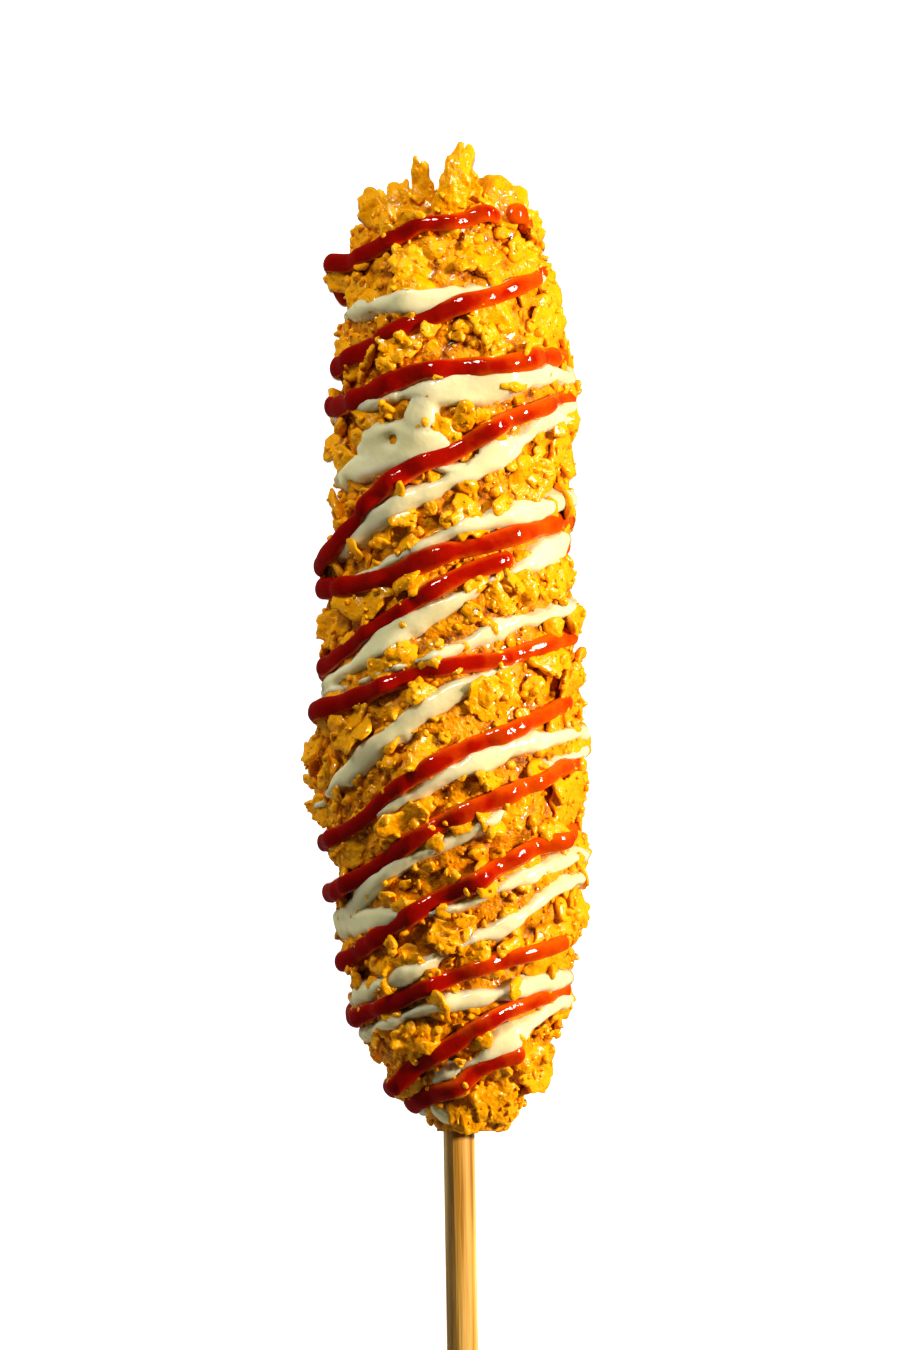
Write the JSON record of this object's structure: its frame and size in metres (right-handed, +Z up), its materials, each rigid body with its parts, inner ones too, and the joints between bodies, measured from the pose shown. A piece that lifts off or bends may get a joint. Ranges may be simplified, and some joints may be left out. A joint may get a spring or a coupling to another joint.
{
  "type": "corn dog",
  "caption": "Corn dog with a craggy coat of crushed corn flakes under zigzags of mayonnaise and ketchup, on a round bamboo stick, lying on its back.",
  "frame": {"origin": "middle of the whole thing's footprint, on the surface that it lies on", "axes": "+Z up, out of the side with the drizzle; +Y along the stick, towards the crust's tip; +X to the right of it, seen from above"},
  "size_m": [0.0484, 0.26, 0.0433],
  "materials": {
    "crust": "fried corn flakes and batter, golden with browner crevices, slightly glossy with oil",
    "bamboo": "plain smooth bamboo, satin",
    "ketchup": "wet glossy red sauce",
    "mayonnaise": "wet glossy cream sauce"
  },
  "bodies": {
    "root": {"crust": "crust", "stick": "bamboo"}
  },
  "joints": []
}
